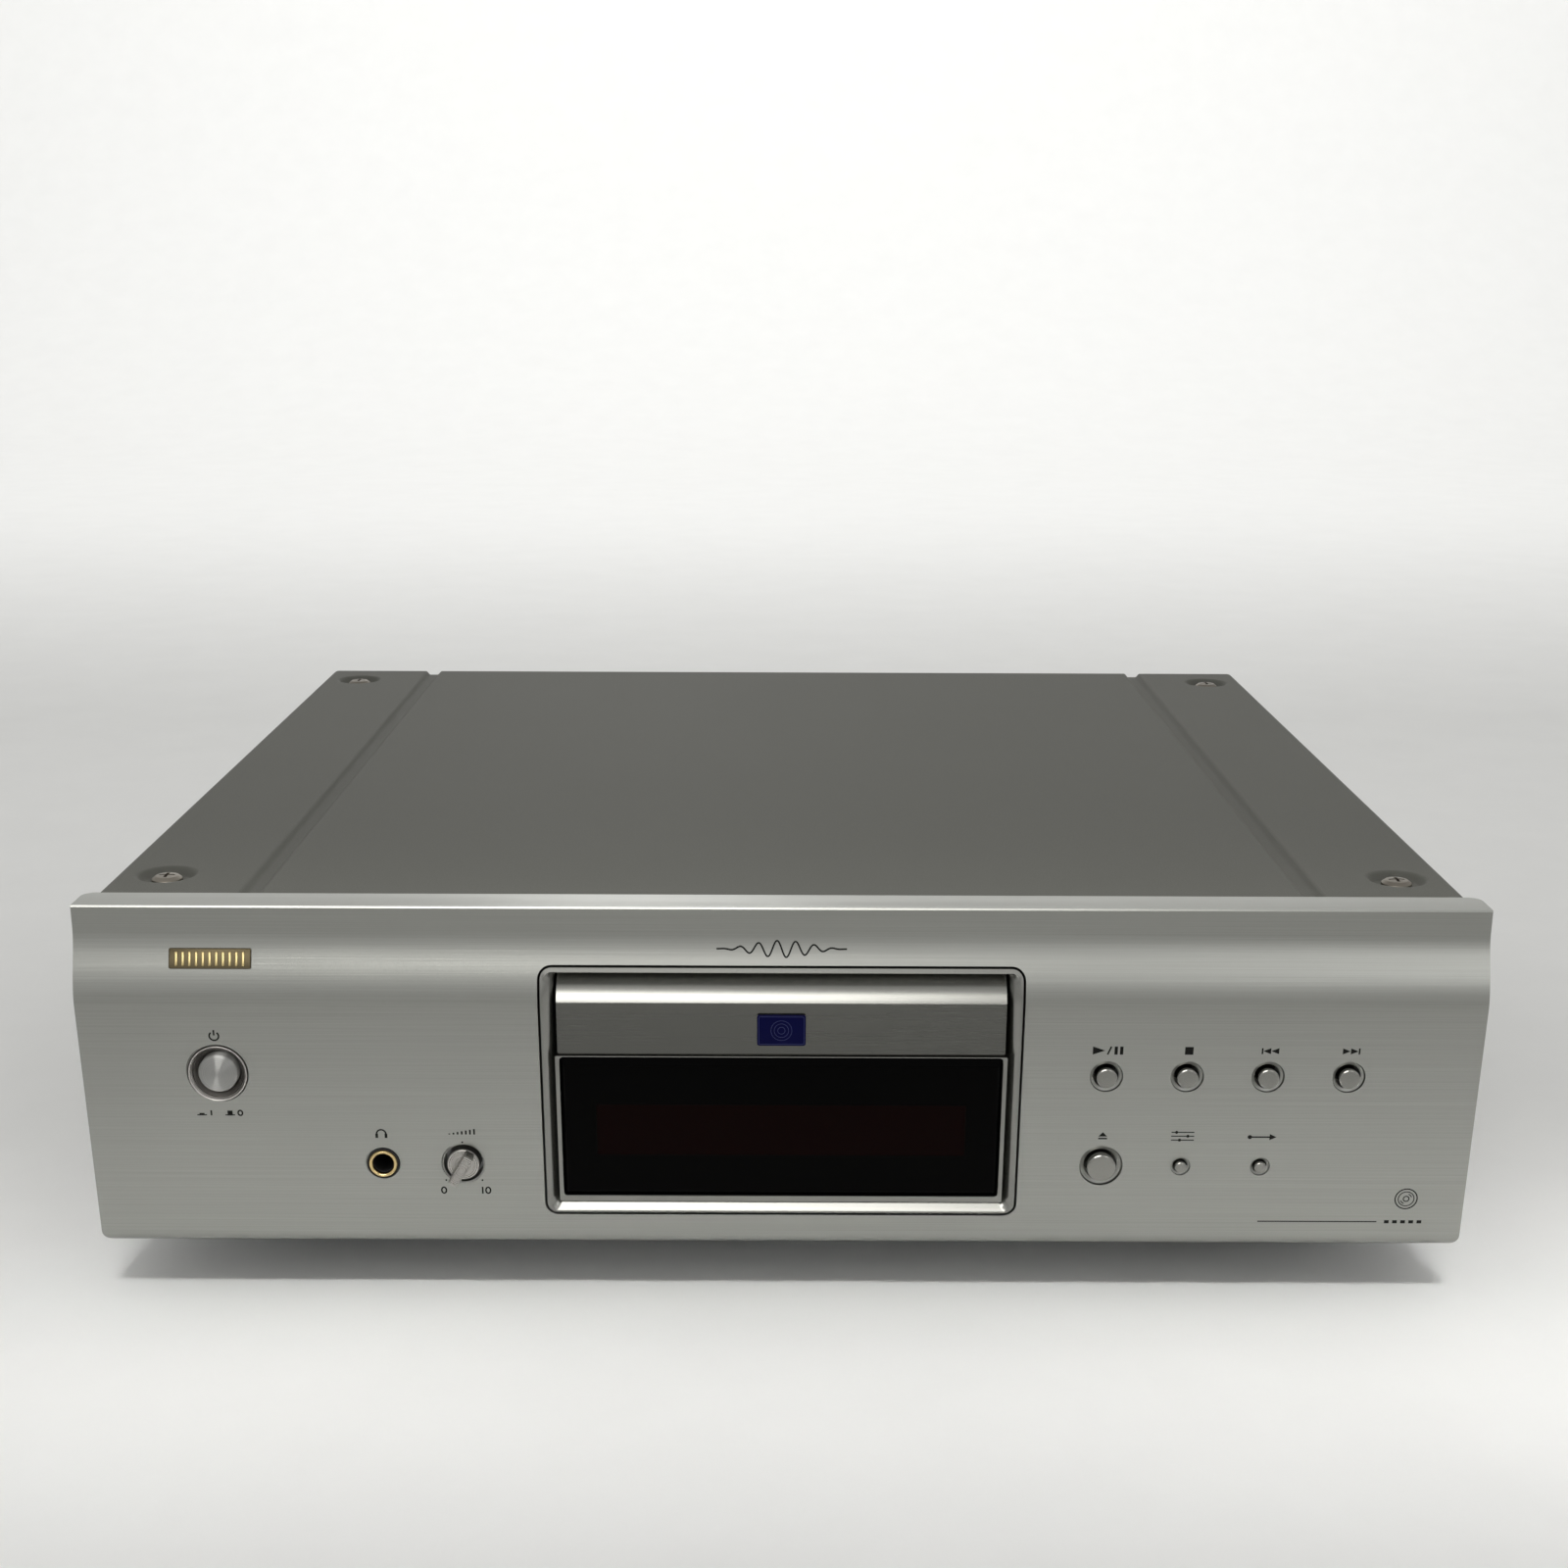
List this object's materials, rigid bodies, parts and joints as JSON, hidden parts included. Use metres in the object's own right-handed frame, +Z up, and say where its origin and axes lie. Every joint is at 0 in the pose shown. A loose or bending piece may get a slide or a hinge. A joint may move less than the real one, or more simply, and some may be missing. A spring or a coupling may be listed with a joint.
{
  "type": "compact disc player",
  "caption": "Full-width hi-fi disc player with a curved aluminium front, sliding disc tray, display window and push buttons.",
  "frame": {"origin": "middle of the footprint, on the surface the feet stand on", "axes": "+X to the right seen from the front, +Y to the rear, +Z up"},
  "size_m": [0.434, 0.4074, 0.131],
  "materials": {
    "brushed_aluminium": "brushed along the width, satin anodised",
    "cover_paint": "fine matte grey paint",
    "steel_sheet": "zinc-plated sheet",
    "satin_silver": "satin",
    "button_silver": "spun, concentric lines",
    "warm_silver": "satin",
    "smoked_acrylic": "polished, nearly opaque",
    "bronze": "satin bronze",
    "gold": "polished gold plate",
    "black_plastic": "fine texture",
    "white_plastic": "moulded acetal",
    "emblem_blue": "gloss navy",
    "circuit_board": "solder resist",
    "display_glass": "smoked glass envelope",
    "rubber": "matte",
    "transformer_paint": "satin",
    "zinc": "passivated zinc"
  },
  "bodies": {
    "housing": {"front_panel": "brushed_aluminium", "top_cover": "cover_paint", "rear_panel": "cover_paint", "front_bracket": "steel_sheet", "base_pan": "steel_sheet", "clamp_bridge": "steel_sheet", "loading_motor": "steel_sheet", "level_control": "steel_sheet", "tray_bezel": "satin_silver", "power_ring": "warm_silver", "display_window": "smoked_acrylic", "badge_plate": "bronze", "headphone_jack_ring": "gold", "coaxial_jack": "gold", "analog_jack_left": "gold", "analog_jack_right": "gold", "headphone_jack": "black_plastic", "power_switch": "black_plastic", "loader_frame": "black_plastic", "optical_jack": "black_plastic", "ac_inlet": "black_plastic", "key_board": "circuit_board", "headphone_board": "circuit_board", "display_board": "circuit_board", "power_supply_board": "circuit_board", "audio_board": "circuit_board", "fluorescent_display": "display_glass", "foot_front_left": "rubber", "foot_front_right": "rubber", "foot_rear_left": "rubber", "foot_rear_right": "rubber", "drive_belt": "rubber", "power_transformer": "transformer_paint", "cover_screw_front_left": "zinc", "cover_screw_front_right": "zinc", "cover_screw_rear_left": "zinc", "cover_screw_rear_right": "zinc"},
    "tray": {"disc_tray": "black_plastic", "tray_door": "satin_silver", "door_emblem": "emblem_blue"},
    "tray_gear": {"tray_gear": "white_plastic"},
    "belt_pulley": {"belt_pulley": "white_plastic"},
    "motor_pulley": {"motor_pulley": "white_plastic"},
    "traverse": {"traverse_plate": "steel_sheet", "guide_rod_left": "steel_sheet", "guide_rod_right": "steel_sheet", "spindle_motor": "zinc"},
    "turntable": {"turntable": "black_plastic"},
    "clamper": {"clamper": "black_plastic"},
    "pickup": {"pickup_sled": "black_plastic"},
    "sled_gear": {"sled_gear": "white_plastic"},
    "level_knob": {"level_knob": "button_silver"},
    "power": {"power_button": "button_silver"},
    "play": {"play_button": "button_silver"},
    "stop": {"stop_button": "button_silver"},
    "previous": {"previous_button": "button_silver"},
    "next": {"next_button": "button_silver"},
    "eject": {"eject_button": "button_silver"},
    "setup": {"setup_button": "button_silver"},
    "direct": {"direct_button": "button_silver"}
  },
  "joints": [
    {"name": "tray_slide", "type": "slide", "parent": "housing", "child": "tray", "axis": [0, -1, 0], "range_m": [0, 0.14]},
    {"name": "tray_gear_spin", "type": "hinge", "parent": "housing", "child": "tray_gear", "pos_m": [-0.046, -0.16, 0.089], "axis": [0, 0, 1], "range_deg": [0, 806]},
    {"name": "belt_pulley_spin", "type": "hinge", "parent": "housing", "child": "belt_pulley", "pos_m": [-0.03, -0.16, 0.083], "axis": [0, 0, 1], "range_deg": [-1340, 0]},
    {"name": "motor_pulley_spin", "type": "hinge", "parent": "housing", "child": "motor_pulley", "pos_m": [0.01, -0.16, 0.081], "axis": [0, 0, 1], "range_deg": [-4300, 0]},
    {"name": "traverse_lift", "type": "slide", "parent": "housing", "child": "traverse", "axis": [0, 0, -1], "range_m": [-0.009, 0]},
    {"name": "turntable_spin", "type": "hinge", "parent": "traverse", "child": "turntable", "pos_m": [0, -0.1225, 0.085], "axis": [0, 0, 1], "continuous": true},
    {"name": "clamper_spin", "type": "hinge", "parent": "housing", "child": "clamper", "pos_m": [0, -0.1225, 0.105], "axis": [0, 0, 1], "continuous": true},
    {"name": "pickup_slide", "type": "slide", "parent": "traverse", "child": "pickup", "axis": [0, 1, 0], "range_m": [0, 0.033]},
    {"name": "sled_gear_spin", "type": "hinge", "parent": "traverse", "child": "sled_gear", "pos_m": [0.0285, -0.081, 0.08], "axis": [0, 0, 1], "range_deg": [-316, 0]},
    {"name": "level_knob_turn", "type": "hinge", "parent": "housing", "child": "level_knob", "pos_m": [-0.1002, -0.19786, 0.0468], "axis": [0, 1, 0], "range_deg": [0, 300]},
    {"name": "power_press", "type": "slide", "parent": "housing", "child": "power", "axis": [0, 1, 0], "range_m": [0, 0.0025], "stiffness_N_per_m": 900},
    {"name": "play_press", "type": "slide", "parent": "housing", "child": "play", "axis": [0, 1, 0], "range_m": [0, 0.0008], "stiffness_N_per_m": 1500},
    {"name": "stop_press", "type": "slide", "parent": "housing", "child": "stop", "axis": [0, 1, 0], "range_m": [0, 0.0008], "stiffness_N_per_m": 1500},
    {"name": "previous_press", "type": "slide", "parent": "housing", "child": "previous", "axis": [0, 1, 0], "range_m": [0, 0.0008], "stiffness_N_per_m": 1500},
    {"name": "next_press", "type": "slide", "parent": "housing", "child": "next", "axis": [0, 1, 0], "range_m": [0, 0.0008], "stiffness_N_per_m": 1500},
    {"name": "eject_press", "type": "slide", "parent": "housing", "child": "eject", "axis": [0, 1, 0], "range_m": [0, 0.0008], "stiffness_N_per_m": 1500},
    {"name": "setup_press", "type": "slide", "parent": "housing", "child": "setup", "axis": [0, 1, 0], "range_m": [0, 0.0008], "stiffness_N_per_m": 1500},
    {"name": "direct_press", "type": "slide", "parent": "housing", "child": "direct", "axis": [0, 1, 0], "range_m": [0, 0.0008], "stiffness_N_per_m": 1500}
  ],
  "couplings": [
    {"joint": "tray_gear_spin", "follows": "tray_slide", "rad_per_m": 100},
    {"joint": "belt_pulley_spin", "follows": "tray_slide", "rad_per_m": -166.67},
    {"joint": "motor_pulley_spin", "follows": "tray_slide", "rad_per_m": -534.63},
    {"joint": "sled_gear_spin", "follows": "pickup_slide", "rad_per_m": -166.67}
  ]
}
